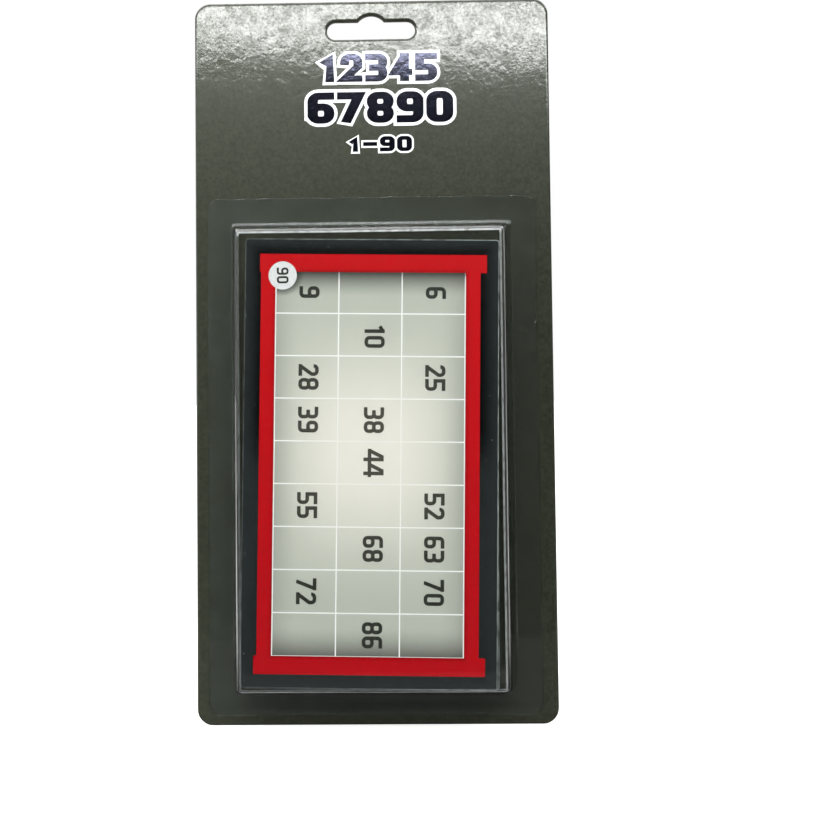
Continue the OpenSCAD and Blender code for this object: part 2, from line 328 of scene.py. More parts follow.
# ---- Title on the backing card ----
# Three lines of heavy numbers in black ink with a white rim, printed under the laminate at the
# head of the card. They are plain numbers, drawn as pen strokes with square ends.


def digit_paths(value, w, h, r):
    """The pen's paths for one digit, w wide and h high, with corner radius r. Each is (points,
    closed), from its lower left corner."""
    def arc(x, z, start, stop):
        steps = 5
        return [(x + r * math.cos(math.radians(start + (stop - start) * i / steps)),
                 z + r * math.sin(math.radians(start + (stop - start) * i / steps))) for i in range(steps + 1)]

    def loop(low, high):
        return (arc(w - r, low + r, -90, 0) + arc(w - r, high - r, 0, 90)
                + arc(r, high - r, 90, 180) + arc(r, low + r, 180, 270))

    mid = h / 2
    r = min(r, 0.48 * mid, 0.48 * w)
    if value == "0":
        return [(loop(0, h), True)]
    if value == "1":
        return [([(0.42 * w, h - 0.32 * w), (0.75 * w, h), (0.75 * w, 0)], False)]
    if value == "2":
        return [([(0, h - r)] + arc(r, h - r, 180, 90) + arc(w - r, h - r, 90, 0)
                 + [(w, mid + 0.25 * r), (0, 0), (w, 0)], False)]
    if value == "3":
        return [([(0, h)] + arc(w - r, h - r, 90, 0) + arc(w - r, mid + r, 0, -90) + [(0.3 * w, mid)], False),
                ([(0.3 * w, mid)] + arc(w - r, mid - r, 90, 0) + arc(w - r, r, 0, -90) + [(0, 0)], False)]
    if value == "4":
        return [([(0.72 * w, h), (0, 0.27 * h), (w, 0.27 * h)], False),
                ([(0.75 * w, h), (0.75 * w, 0)], False)]
    if value == "5":
        return [([(w, h), (0, h), (0, mid)] + arc(w - r, mid - r, 90, 0) + arc(w - r, r, 0, -90)
                 + [(0, 0)], False)]
    if value == "6":
        return [(loop(0, mid + 0.04 * h), True), ([(w, h)] + arc(r, h - r, 90, 180) + [(0, mid - r)], False)]
    if value == "7":
        return [([(0, h), (w, h), (0.3 * w, 0)], False)]
    if value == "8":
        return [(loop(0, mid), True), (loop(mid, h), True)]
    if value == "9":
        return [([(w - x, h - z) for x, z in path], closed) for path, closed in digit_paths("6", w, h, r)]
    return [([(0.05 * w, mid), (0.95 * w, mid)], False)]


def pen_stroke(path, closed, half, lengthen):
    """Quads of a pen stroke along a path, with mitred corners and square ends."""
    path = [point for i, point in enumerate(path)
            if (i == 0 and not closed) or math.dist(point, path[i - 1]) > 1e-4]
    count = len(path)
    rails = []
    for i, (x, z) in enumerate(path):
        before = path[i - 1] if closed or i else None
        after = path[(i + 1) % count] if closed or i < count - 1 else None
        ways = []
        legs = ([(before, (x, z))] if before else []) + ([((x, z), after)] if after else [])
        for (ax, az), (bx, bz) in legs:
            run = math.hypot(bx - ax, bz - az)
            if run > 1e-6:
                ways.append(((bx - ax) / run, (bz - az) / run))
        dx, dz = sum(way[0] for way in ways), sum(way[1] for way in ways)
        run = math.hypot(dx, dz) or 1
        dx, dz = dx / run, dz / run
        wide = half / max(0.45, dx * ways[0][0] + dz * ways[0][1])
        if not before:
            x, z = x - dx * lengthen, z - dz * lengthen
        if not after:
            x, z = x + dx * lengthen, z + dz * lengthen
        rails.append(((x - dz * wide, z + dx * wide), (x + dz * wide, z - dx * wide)))
    return [(rails[i][0], rails[i][1], rails[(i + 1) % count][1], rails[(i + 1) % count][0])
            for i in range(count if closed else count - 1)]


def number_quads(text, mid_x, mid_z, w, h, half, gap, grow=0.0, half_flat=None):
    """Flat quads of a number as it is read, with its middle at a point. w and h are the size of a
    digit with its stroke, whose level parts may be thinner, and grow widens it on all sides."""
    quads = []
    flat = half_flat or half
    stretch = (half + grow) / (flat + grow)
    advance = w + gap
    start = mid_x - (advance * len(text) - gap) / 2
    for place, value in enumerate(text):
        for path, closed in digit_paths(value, w - 2 * half, h - 2 * flat, max(0.42 * w - half, 0.3)):
            tall = [(x, z * stretch) for x, z in path]
            for quad in pen_stroke(tall, closed, half + grow, half + grow):
                heights = [max(-grow, min(h + grow, flat + z / stretch)) for x, z in quad]
                quads.append([(start + place * advance + half + x, mid_z - h / 2 + z)
                              for (x, _), z in zip(quad, heights)])
    return quads


def flat_piece(name, quads, height, finishes):
    """Flat ink: one clean layer over all the quads, at a height in front of the back of the pack."""
    corners, triangles = [], []
    for a, b, c, d in quads:
        for p, q, r in ((a, b, c), (a, c, d)):
            turn = (q[0] - p[0]) * (r[1] - p[1]) - (q[1] - p[1]) * (r[0] - p[0])
            if abs(turn) > 1e-6:
                triangles.append(list(range(len(corners), len(corners) + 3)))
                corners += [mathutils.Vector(corner) for corner in ((p, q, r) if turn > 0 else (p, r, q))]
    points, _, faces, _, _, covers = mathutils.geometry.delaunay_2d_cdt(corners, [], triangles, 1, 1e-5)
    kept = [tuple(face) for face, cover in zip(faces, covers) if cover]
    return make_piece(name, [(point.x, -height, point.y) for point in points], kept, finishes)


title_white, tree, shader = new_finish("title_white", tone(236, 238, 240), 0.3,
                                       Coat_Weight=0.4, Coat_Roughness=0.15)
ripple = rippled(tree, own_place(tree), LAMINATE_RIPPLE)
speckled = spread(tree, ripple["Height"], 0.25, 0.75, 0.9, 1.0)
wire(tree, shader, Base_Color=blend(tree, speckled, tone(190, 194, 200), tone(244, 245, 247)),
     Normal=ripple["Normal"])

title_black, tree, shader = new_finish("title_black", tone(6, 7, 12), 0.1, Specular_IOR_Level=0.9,
                                       Specular_Tint=(0.62, 0.64, 1.0, 1), Coat_Weight=0.3, Coat_Roughness=0.1)
ripple = rippled(tree, own_place(tree), LAMINATE_RIPPLE)
wire(tree, shader, Base_Color=blend(tree, ripple["Height"], tone(3, 4, 8), tone(9, 11, 20)),
     Normal=ripple["Normal"])

# Each line: number, middle x and z, digit width and height, half widths of upright and level strokes,
# gap, white rim
title_lines = [("12345", 1.8, -13.6, 8.0, 10.2, 1.65, 1.2, 0.95, 1.0),
               ("67890", 3.1, -28.0, 9.7, 11.3, 1.9, 1.35, 0.95, 1.1),
               ("1-90", 2.4, -41.2, 5.4, 5.5, 1.0, 0.72, 0.75, 0.65)]
for which, (text, x, z, w, h, half, half_flat, gap, rim) in enumerate(title_lines, 1):
    for layer, grow, lift, finish in (("rim", rim, 0.01, title_white), ("ink", 0.0, 0.02, title_black)):
        quads = number_quads(text, x, z, w, h, half, gap, grow, half_flat)
        ink = flat_piece(f"title_line_{which}_{layer}", quads, BACKING_THICK + lift, [finish])
        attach(ink, "backing")

# ---- Heat-seal coat ----
# A thin ring of clear glue that holds the flange of the blister. It has melted unevenly, so it looks a little
# paler and bluer than the laminate round it. On its left it is painted paler still, as painted light.
BLISTER_X, BUBBLE_Z, FLANGE_Z = -0.6, -151.0, -151.6
seal_haze, tree, shader = new_finish("seal_haze", tone(128, 136, 132), 0.35, Specular_IOR_Level=0.2)
where = own_place(tree)
haze = spread(tree, speckle(tree, where, 140.0, 5.0, 0.6), 0.3, 0.75, 0.05, 0.13)
# Painted light: the haze is painted stronger towards the left
leftward = spread(tree, axes(tree, where)["X"], -0.055, 0.055, 1.15, 0.35)
wire(tree, shader, Alpha=times(tree, haze, leftward))
outer = rounded_outline(BLISTER_X, FLANGE_Z, 58.3, 91.0, 4.2)
inner = rounded_outline(BLISTER_X, BUBBLE_Z, 49.6, 81.3, 1.0)
count = len(outer)
seal = make_piece("heat_seal_ring", [(x, -BACKING_THICK - 0.025, z) for x, z in outer + inner],
                  ring_faces(0, count, count), [seal_haze])
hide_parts("heat_seal_coat")
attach(seal, "backing")

# ---- Loose bingo cards ----
# Twelve cards of thick greyboard, each with a printed sheet glued to its front: black border, red
# frame, pale grid and numbers. They are die-cut, so the board's layers show round the edges.
CARDS = 12
grey_board = bare_board("grey_board", tone(164, 158, 146), tone(112, 106, 97), 1300.0, 0.6)


def dress(node, finish):
    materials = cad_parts[node].data.materials
    materials.clear()
    materials.append(finish)


for n in range(1, CARDS + 1):
    dress(f"bingo_card_{n:02d}_board", grey_board)

# ---- Print of the bingo cards ----
# Screened inks on the glossy sheet. The red bars throw a soft printed shadow on the grid, whose grey
# cells turn pale towards the middle of the card, and the numbers are dark grey.
# A card lies turned a quarter turn, so that its three rows stand side by side, and its columns lie
# under each other. Sizes are named as in the solids' source, or are halves of what it names.
CARD_PITCH = 1.75
CARD_W, CARD_H, CARD_CORNER_R = 84.5, 148.0, 1.0
FRONT_TURN, TURN_SCATTER, GOLDEN_TURN = 1.1, 0.5, 137.5
FRAME_LEFT, FRAME_DROP = 5.35, 5.1
STRIP_W, BAR_H = 5.0, 6.0
TOP_BAR_LAP, BOTTOM_BAR_LAP, BAR_OVERHANG = 0.4, 1.0, 2.1
ROWS, COLUMNS = 3, 9
CELL_W, CELL_H, HALF_LINE, TOP_ROW_COVER = 20.99, 14.089, 0.21, 0.35
DIGIT_W, DIGIT_H, HALF_STROKE, DIGIT_GAP = 3.9, 6.7, 0.6, 0.7
CELLS_LEFT, CELLS_TOP = -CARD_W / 2 + FRAME_LEFT + STRIP_W, CARD_H / 2 - FRAME_DROP - BAR_H
CELLS_RIGHT, GRID_TOP = CELLS_LEFT + ROWS * CELL_W, CELLS_TOP + TOP_ROW_COVER
CELLS_FOOT = GRID_TOP - COLUMNS * CELL_H


def card_turn(n):
    """The turn at which card n has come to lie in the blister."""
    scatter = 1 - math.cos(math.radians(GOLDEN_TURN * (CARDS - n)))
    return math.radians(FRONT_TURN - TURN_SCATTER * scatter / 2)


def card_middle(n):
    """Where the middle of card n's printed sheet lies."""
    low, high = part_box(f"bingo_card_{n:02d}_face_sheet")
    return (low[0] + high[0]) / 2 / MM, (low[2] + high[2]) / 2 / MM


def card_front(n):
    """The height of card n's printed front over the back of the pack."""
    return BACKING_THICK + CARD_PITCH * n


def on_card(n, quads):
    """Quads drawn round a card's own middle, put where card n lies in the pack."""
    mid_x, mid_z = card_middle(n)
    c, s = math.cos(card_turn(n)), math.sin(card_turn(n))
    return [[(mid_x + x * c + z * s, mid_z - x * s + z * c) for x, z in quad] for quad in quads]


def box_quad(left, low, right, high):
    return [(left, low), (right, low), (right, high), (left, high)]


front_x, front_z = card_middle(CARDS)


def card_place(tree):
    """Where a point lies on its object, and the same in millimetres from the front card's middle,
    along its sides."""
    where = own_place(tree)
    moved = put(tree, "ShaderNodeVectorMath", {0: where, 1: (-front_x * MM, 0, -front_z * MM)},
                operation="ADD")
    turned = put(tree, "ShaderNodeVectorRotate", {"Vector": moved.outputs["Vector"], "Axis": (0, 1, 0),
                                                  "Angle": -card_turn(CARDS)})
    scaled = put(tree, "ShaderNodeVectorMath", {0: turned.outputs["Vector"], "Scale": 1 / MM},
                 operation="SCALE")
    return where, axes(tree, scaled.outputs["Vector"])


def ramp(tree, value, start, stop, low=0.0, high=1.0):
    """As spread, but leaving and coming in softly."""
    return spread(tree, value, start, stop, low, high, interpolation_type="SMOOTHSTEP")


def within(tree, value, start, stop, deep, curve):
    """deep at start, falling on a curve to nothing at stop."""
    return times(tree, reckon(tree, "POWER", spread(tree, value, start, stop, 1.0, 0.0), curve), deep)


def off_middle(tree, value, low, high):
    """How far a value lies from the middle between low and high."""
    return reckon(tree, "ABSOLUTE", reckon(tree, "ADD", value, -(low + high) / 2))


def darker(tree, colour, *shares):
    """The colour with each share of its light taken away."""
    for share in shares:
        colour = put(tree, "ShaderNodeVectorMath", {0: colour, "Scale": reckon(tree, "SUBTRACT", 1.0, share)},
                     operation="SCALE").outputs["Vector"]
    return colour


# The black of the border is deepest beside the red frame. It thins towards the cut edge and in the
# card's lower half, and bears specks of dust.
border_black, tree, shader = new_finish("border_black", tone(18, 25, 25), 0.3, Specular_IOR_Level=0.2)
where, place = card_place(tree)
ripple = rippled(tree, where, {"Grain Depth": 0.000004, "Ripple Depth": 0.000005, "Wave Depth": 0.00002})
near_cut = reckon(tree, "MAXIMUM", *(
    ramp(tree, reckon(tree, "ABSOLUTE", place[axis]), beside_frame, cut)
    for axis, beside_frame, cut in (("X", 36.0, CARD_W / 2), ("Z", 68.9, CARD_H / 2))))
low_down = ramp(tree, place["Z"], -8.0, 12.0, 1.0, 0.0)
full_ink = times(tree, *(reckon(tree, "MULTIPLY_ADD", share, -0.8, 1.0) for share in (near_cut, low_down)))
dust = put(tree, "ShaderNodeTexVoronoi", {"Vector": where, "Scale": 210.0})
speck = spread(tree, dust.outputs["Distance"], 0.02, 0.045, 0.7, 0.0)
inked = blend(tree, full_ink, tone(41, 46, 46), tone(3, 5, 6))
wire(tree, shader, Base_Color=blend(tree, speck, inked, tone(170, 176, 176)), Normal=ripple["Normal"])
for n in range(1, CARDS + 1):
    dress(f"bingo_card_{n:02d}_face_sheet", border_black)

red_ink, tree, shader = new_finish("red_ink", tone(195, 14, 25), 0.3, Specular_IOR_Level=0.15)
where, place = card_place(tree)
red = blend(tree, ramp(tree, place["Z"], -74.0, 70.0), tone(190, 9, 21), tone(200, 6, 15))
grained = blend(tree, times(tree, speckle(tree, where, 1500.0, 3.0), 0.25), red, tone(150, 8, 18))
# Its inner edge is printed darker all round the grid
off_grid = reckon(tree, "MAXIMUM", *(
    reckon(tree, "SUBTRACT", off_middle(tree, place[axis], low, high), (high - low) / 2)
    for axis, low, high in (("X", CELLS_LEFT, CELLS_RIGHT), ("Z", CELLS_FOOT, CELLS_TOP))))
wire(tree, shader, Base_Color=darker(tree, grained, within(tree, off_grid, 0.0, 1.3, 0.4, 1.0)))


def paleness(tree, place):
    """1 in the middle of the card, falling to 0 towards its ends and its sides."""
    away = off_middle(tree, place["Z"], 3.5, 3.5)
    aside = off_middle(tree, place["X"], CELLS_LEFT, CELLS_RIGHT)
    inside = reckon(tree, "SUBTRACT", 1.0, within(tree, aside, 1.5 * CELL_W, 0.0, 1.0, 2.5))
    return times(tree, ramp(tree, away, 4.0, 52.0, 1.0, 0.0), inside)


DISC_X, DISC_Z, DISC_R, DISC_POINTS = -29.4, -90.1, 4.7, 48


def frame_shadow(tree, colour, where, place):
    """The soft shadow that is printed on the grid all round, deepest under the top bar, and beside
    the disc over its corner."""
    # Depth counts six times, so that the disc's shadow lies on the front card alone
    deeper = put(tree, "ShaderNodeVectorMath", {0: where, 1: (1, 6, 1)}, operation="MULTIPLY")
    middle = (DISC_X * MM, -6 * card_front(CARDS) * MM, DISC_Z * MM)
    off_disc = put(tree, "ShaderNodeVectorMath", {0: deeper.outputs["Vector"], 1: middle},
                   operation="DISTANCE")
    return darker(tree, colour,
                  ramp(tree, off_disc.outputs["Value"], DISC_R * MM, (DISC_R + 2.7) * MM, 0.6, 0.0),
                  within(tree, place["Z"], CELLS_TOP, CELLS_TOP - 7.9, 0.92, 1.2),
                  within(tree, place["Z"], CELLS_FOOT, CELLS_FOOT + 9.5, 0.75, 1.35),
                  within(tree, place["X"], CELLS_LEFT, CELLS_LEFT + 8.0, 0.22, 1.3),
                  within(tree, place["X"], CELLS_RIGHT, CELLS_RIGHT - 8.0, 0.22, 1.3))


cell_ink, tree, shader = new_finish("cell_ink", tone(205, 208, 204), 0.35, Specular_IOR_Level=0.3)
where, place = card_place(tree)
cells = blend(tree, paleness(tree, place), tone(189, 193, 181), tone(237, 233, 223))
wire(tree, shader, Base_Color=frame_shadow(tree, cells, where, place))

line_white, tree, shader = new_finish("line_white", tone(245, 245, 242), 0.35, Specular_IOR_Level=0.3)
_, place = card_place(tree)
lines = blend(tree, paleness(tree, place), tone(252, 252, 250), tone(242, 240, 234))
near_top = within(tree, place["Z"], CELLS_TOP, CELLS_TOP - 4.0, 0.7, 1.5)
wire(tree, shader, Base_Color=darker(tree, lines, near_top))

number_ink, tree, shader = new_finish("number_ink", tone(54, 54, 48), 0.35, Specular_IOR_Level=0.3)
where, place = card_place(tree)
# The ink is thinner where the grid is pale
grain = times(tree, speckle(tree, where, 1300.0, 2.0), 0.4)
thin = reckon(tree, "MULTIPLY_ADD", paleness(tree, place), 0.8, grain)
wire(tree, shader, Base_Color=blend(tree, thin, tone(36, 40, 34), tone(78, 76, 67)))

for what, finish in (("red_frame", red_ink), ("number_cells", cell_ink), ("numbers", number_ink)):
    dress(f"bingo_card_12_{what}", finish)

# The white lines between the cells are bare paper, and lie a hair under the inks
grid = box_quad(CELLS_LEFT, CELLS_FOOT, CELLS_RIGHT, CELLS_TOP)
side_lines = [box_quad(x - leftward, CELLS_FOOT, x + rightward, CELLS_TOP - 1)
              for x, leftward, rightward in ((CELLS_LEFT, 0.14, 0.22), (CELLS_RIGHT, 0.22, 0.14))]
for what, quads, lift in (("grid_lines", [grid], 0.02), ("side_lines", side_lines, 0.07)):
    lines = flat_piece(f"bingo_card_12_{what}", on_card(CARDS, quads), card_front(CARDS) + lift, [line_white])
    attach(lines, "card_12")

# Along the cut edge of each sheet the black has chipped to the paper. The pale edge is also a painted
# highlight, painted brighter at its head and right side
chipped_and_highlit, tree, shader = new_finish("chipped_and_highlit_edge", tone(120, 126, 124), 0.5, Specular_IOR_Level=0.2)
where, place = card_place(tree)
# Painted highlight: the pale edge is brighter towards the head and the right side
highlight_up_and_right = reckon(tree, "MULTIPLY_ADD", place["Z"], 0.35, place["X"])
bare_paper_and_highlight = times(tree, ramp(tree, highlight_up_and_right, -35.0, 40.0, 0.25, 1.0),
                   ramp(tree, speckle(tree, where, 260.0, 3.0), 0.3, 0.6, 0.3, 1.0))
wire(tree, shader, Base_Color=blend(tree, bare_paper_and_highlight, tone(28, 32, 32), tone(168, 176, 174)))
for n in range(1, CARDS + 1):
    outer = rounded_outline(0, 0, CARD_W / 2 - 0.02, CARD_H / 2 - 0.02, CARD_CORNER_R, 4)
    inner = rounded_outline(0, 0, CARD_W / 2 - 0.24, CARD_H / 2 - 0.24, CARD_CORNER_R - 0.2, 4)
    rim = on_card(n, [outer + inner])[0]
    edge = make_piece(f"bingo_card_{n:02d}_chipped_and_highlit_edge", [(x, -(card_front(n) + 0.012), z) for x, z in rim],
                      ring_faces(0, len(outer), len(outer)), [chipped_and_highlit])
    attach(edge, f"card_{n:02d}")

# The cards behind the front one are printed in the same run, with other numbers: five in each row,
# and each column keeps to its own ten
left, right = CELLS_LEFT - STRIP_W, CELLS_RIGHT + STRIP_W
frame_quads = [box_quad(left, CELLS_FOOT, CELLS_LEFT, CELLS_TOP),
               box_quad(CELLS_RIGHT, CELLS_FOOT, right, CELLS_TOP),
               box_quad(left - TOP_BAR_LAP, CELLS_TOP, right + BAR_OVERHANG, CELLS_TOP + BAR_H),
               box_quad(left - BOTTOM_BAR_LAP, CELLS_FOOT - BAR_H, right + BAR_OVERHANG, CELLS_FOOT)]
cell_quads = [box_quad(CELLS_LEFT + across * CELL_W + HALF_LINE,
                       GRID_TOP - (down + 1) * CELL_H + HALF_LINE,
                       CELLS_LEFT + (across + 1) * CELL_W - HALF_LINE,
                       min(CELLS_TOP, GRID_TOP - down * CELL_H - HALF_LINE))
              for across in range(ROWS) for down in range(COLUMNS)]
# The numbers are printed to the right of the middle of their cells, most of all in the middle row
RIGHT_OF_MIDDLE = (0.7, 1.5, 0.7)
draw = random.Random(90)
for n in range(1, CARDS):
    numbers = []
    taken = [draw.sample(range(10), ROWS) for column in range(COLUMNS)]
    for row in range(ROWS):
        for column in sorted(draw.sample(range(COLUMNS), 5)):
            value = str(10 * column + max(1, sorted(taken[column])[row]))
            mid_x = CELLS_RIGHT - (row + 0.5) * CELL_W + RIGHT_OF_MIDDLE[row]
            mid_z = GRID_TOP - (column + 0.5) * CELL_H
            numbers += [[(mid_x + z, mid_z - x) for x, z in quad]
                        for quad in number_quads(value, 0, 0, DIGIT_W, DIGIT_H, HALF_STROKE, DIGIT_GAP)]
    layers = [("lines", [grid], 0.02, line_white, "card_face"),
              ("frame", frame_quads, 0.04, red_ink, "red_ink"),
              ("cells", cell_quads, 0.04, cell_ink, "cell_ink"),
              ("numbers", numbers, 0.06, number_ink, "number_ink")]
    for what, quads, lift, finish, slot in layers:
        name = f"bingo_card_{n:02d}_printed_{what}"
        ink = flat_piece(name, on_card(n, quads), card_front(n) + lift, [finish])
        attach(ink, f"card_{n:02d}")

# A plain white disc with a number is printed over the frame's corner on the front card
disc_white, tree, shader = new_finish("disc_white", tone(226, 228, 228), 0.35, Specular_IOR_Level=0.4)
grain = speckle(tree, own_place(tree), 900.0, 3.0)
wire(tree, shader, Base_Color=blend(tree, grain, tone(214, 216, 216), tone(238, 240, 240)))
disc_front = card_front(CARDS) + 0.12
turns = [math.tau * i / DISC_POINTS for i in range(DISC_POINTS)]
ring = [(DISC_X + DISC_R * math.cos(turn), -disc_front, DISC_Z + DISC_R * math.sin(turn)) for turn in turns]
disc = make_piece("bingo_card_12_corner_disc", ring, [tuple(range(DISC_POINTS))], [disc_white])
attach(disc, "card_12")
quads = [[(DISC_X + z, DISC_Z - x) for x, z in quad]
         for quad in number_quads("90", 0, 0, 2.4, 3.9, 0.34, 0.45)]
disc_number = flat_piece("bingo_card_12_corner_number", quads, disc_front + 0.02, [number_ink])
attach(disc_number, "card_12")

# ---- Blister ----
# One sheet of clear plastic, drawn while hot over a block: a flat flange, walls that lean in, tight
# round edges and a flat front. The flange is pressed on to the heat-seal coat with hot tools.
SEAL_FRONT = 1.66
DEEP, SHEET, LEAN = 22.35, 0.45, 5 / 22.35
FLANGE_HALF_W, FLANGE_HALF_H, FLANGE_R = 58.5, 91.2, 4.3
FOOT_HALF_W, FOOT_HALF_H, EDGE_R = 49.9, 81.6, 2.1
lean_angle = math.atan(LEAN)
edge_deep = DEEP - EDGE_R
CLEAR = (0.98, 0.992, 0.99)
blister_clear, tree, shader = new_finish("blister_clear", CLEAR, 0.03, IOR=1.5, Transmission_Weight=1.0)
where = own_place(tree)
ripple = rippled(tree, where, {"Grain Depth": 0.000001, "Ripple Depth": 0.000003, "Wave Depth": 0.00002})
# The sheet has drawn over the block in fine steps, which run round its walls
level = put(tree, "ShaderNodeMapping", {"Vector": where, "Scale": (0.05, 1.0, 0.05)})
steps = speckle(tree, level.outputs["Vector"], 650.0, 1.0)
stepped = put(tree, "ShaderNodeBump", {"Height": steps, "Strength": 1.0, "Distance": 0.00007,
                                       "Normal": ripple["Normal"]})
wire(tree, shader, Normal=stepped.outputs["Normal"])
seen = put(tree, "ShaderNodeLightPath")
# Light that meets the sheet at a slant is thrown back, so that less of it comes through the walls
thrown_back = put(tree, "ShaderNodeFresnel", {"IOR": 1.5})
let_in = ramp(tree, thrown_back.outputs["Fac"], 0.25, 0.85, 1.0, 0.3)
tint = put(tree, "ShaderNodeVectorMath", {0: CLEAR, "Scale": let_in}, operation="SCALE")
clear = put(tree, "ShaderNodeBsdfTransparent", {"Color": tint.outputs["Vector"]})
mixed = put(tree, "ShaderNodeMixShader", {0: seen.outputs["Is Shadow Ray"], 1: shader.outputs["BSDF"],
                                          2: clear.outputs["BSDF"]})
wire(tree, tree.nodes["Material Output"], Surface=mixed.outputs["Shader"])


def blister_loops(inside):
    """The loops of one skin of the blister, from the flange's rim to the middle of its front, as
    (half width, half height, corner radius, middle z, height above the seal)."""
    step_in = SHEET / math.cos(lean_angle) if inside else 0.0
    low = 0.0 if inside else SHEET
    edge_r = EDGE_R - SHEET if inside else EDGE_R
    foot_r = 0.9 if inside else 0.5
    rim = [(0.1, 0.0)] if inside else [(0.0, 0.05), (0.0, 0.34), (0.03, 0.41), (0.1, SHEET), (0.22, SHEET),
                                       (1.0, SHEET)]
    loops = [(FLANGE_HALF_W - back, FLANGE_HALF_H - back, FLANGE_R, FLANGE_Z, height) for back, height in rim]
    loops.append((FOOT_HALF_W + 3, FOOT_HALF_H + 3, 3.0, BUBBLE_Z - 0.05, low))

    def bubble(half_w, half_h, out, radius, height):
        loops.append((half_w + out, half_h + out, radius, BUBBLE_Z, height))

    # The foot turns from the flange into the wall
    wall = [half - step_in - LEAN * (low + foot_r) for half in (FOOT_HALF_W, FOOT_HALF_H)]
    bubble(*wall, foot_r + 0.15, 1.15 + foot_r, low)
    for part in range(6):
        a = math.radians(90 * part / 5) * (1 - lean_angle / math.pi * 2)
        out = foot_r * (1 - math.sin(a))
        bubble(*wall, out, 1.0 + out, low + foot_r * (1 - math.cos(a)))
    for share in (0.015, 0.25, 0.5, 0.75, 0.985):
        height = low + foot_r + (edge_deep - low - foot_r) * share
        bubble(FOOT_HALF_W, FOOT_HALF_H, -step_in - LEAN * height, 1.0 + 0.5 * share, height)
    # The round edge, and the front, which is a little domed
    round_w, round_h = (half - LEAN * edge_deep - EDGE_R / math.cos(lean_angle)
                        for half in (FOOT_HALF_W, FOOT_HALF_H))
    for part in range(9):
        a = lean_angle + (math.pi / 2 - lean_angle) * part / 8
        out = edge_r * math.cos(a)
        bubble(round_w, round_h, out, out + 0.03, edge_deep + edge_r * math.sin(a))
    for share in (0.98, 0.9, 0.7, 0.45, 0.2, 0.02):
        bubble(round_w * share, round_h * share, 0.0, 0.03, edge_deep + edge_r - 0.12 * (1 - share ** 2))
    return loops


def unevenness(x, z, height):
    """How far the sheet has drawn unevenly over the block, on its walls and front."""
    rise = min(1.0, height / 6)
    return rise * (0.07 * math.sin(x / 17 + z / 29 + 1.3)
                   + 0.05 * math.sin(z / 11 - x / 23) * math.sin(height / 7 + 0.4))


def drawn(outline, height):
    """The points of an outline at a height, where they lie on the uneven sheet."""
    points = []
    for x, z in outline:
        bend = unevenness(x, z, height)
        sunk = abs(bend) * 0.4 * (height > 20)
        points.append((x + bend * (x - BLISTER_X) / 60, -(SEAL_FRONT + height - sunk),
                       z + bend * (z - BUBBLE_Z) / 90))
    return points


points, faces, rims = [], [], []
for inside in (False, True):
    starts = []
    for half_w, half_h, radius, mid_z, height in blister_loops(inside):
        outline = rounded_outline(BLISTER_X, mid_z, half_w, half_h, min(radius, half_w, half_h), 5, 14)
        starts.append(len(points))
        points += drawn(outline, height)
    count = len(outline)
    skin = [face for a, b in zip(starts, starts[1:]) for face in ring_faces(a, b, count)]
    skin.append(tuple(range(starts[-1], starts[-1] + count)))
    faces += [face[::-1] for face in skin] if inside else skin
    rims.append(starts[0])
faces += ring_faces(rims[1], rims[0], count)
blister = make_piece("blister_clear_sheet", points, faces, [blister_clear], smooth_below=50)
mesh = bmesh.new()
mesh.from_mesh(blister.data)
bmesh.ops.recalc_face_normals(mesh, faces=mesh.faces)
mesh.to_mesh(blister.data)
mesh.free()
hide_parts("blister_shell")
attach(blister, "blister")

# Painted highlights: pale films where the front turns into the walls, most along the top, and less on the top
# wall, and a painted highlight along the foot where that wall meets the flange.
painted_highlight, tree, shader = new_finish("painted_highlight_plastic", tone(214, 221, 221), 0.45, Specular_IOR_Level=0.4)
where = own_place(tree)
place = axes(tree, where)
# Painted highlight: strongest along the top and weaker at the right, where the lamp's light falls on the edges
highlight_on_top = times(tree, ramp(tree, place["Z"], -0.0775, -0.0765), 0.4)
highlight_on_right = times(tree, ramp(tree, place["X"], 0.04, 0.043), 0.2)
most = reckon(tree, "MAXIMUM", reckon(tree, "MAXIMUM", highlight_on_top, highlight_on_right), 0.08)
highlight_off_wall = reckon(tree, "MAXIMUM", ramp(tree, place["Y"], -0.0025, -0.0015, 0.4, 1.0),
                  ramp(tree, place["Y"], -0.0225, -0.0215, 1.0, 0.4))
highlight_breakup = ramp(tree, speckle(tree, where, 420.0, 3.0), 0.3, 0.6, 0.6, 1.15)
wire(tree, shader, Alpha=times(tree, times(tree, most, highlight_breakup), highlight_off_wall))
# Each film: which loops of the outer skin it covers, counted from the flange's rim, and the height
# down to which it reaches
highlight_films = [("rubbed_edge", slice(25, 28), -240.0), ("foot_crease", slice(11, 14), -70.5),
         ("rubbed_wall", slice(14, 19), -72.5)]
for what, part, lowest in highlight_films:
    points, faces = [], []
    for half_w, half_h, radius, mid_z, height in blister_loops(False)[part]:
        outline = rounded_outline(BLISTER_X, mid_z, half_w + 0.01, half_h + 0.01, radius, 5, 14)
        first, count = len(points), len(outline)
        points += drawn(outline, height + 0.012)
        if first:
            faces += [face for i, face in enumerate(ring_faces(first - count, first, count))
                      if min(outline[i][1], outline[(i + 1) % count][1]) > lowest]
    used = sorted({i for face in faces for i in face})
    faces = [tuple(used.index(i) for i in face) for face in faces]
    highlight_film = make_piece(f"blister_{what}", [points[i] for i in used], faces, [painted_highlight], smooth_below=60)
    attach(highlight_film, "blister")

# ---- Studio ----
# A pale floor and a white surround, a broad soft lamp above and in front of the pack, and a weak
# one from the left. The camera stands close in front of the middle of the pack.
WHITE, FLOOR_Z, FLOOR_FRONT, FLOOR_REACH = (1, 1, 1, 1), -246.45, -100, 2500
floor_white, tree, shader = new_finish("floor_white", (0.86, 0.86, 0.86), 0.9, Specular_IOR_Level=0.0)


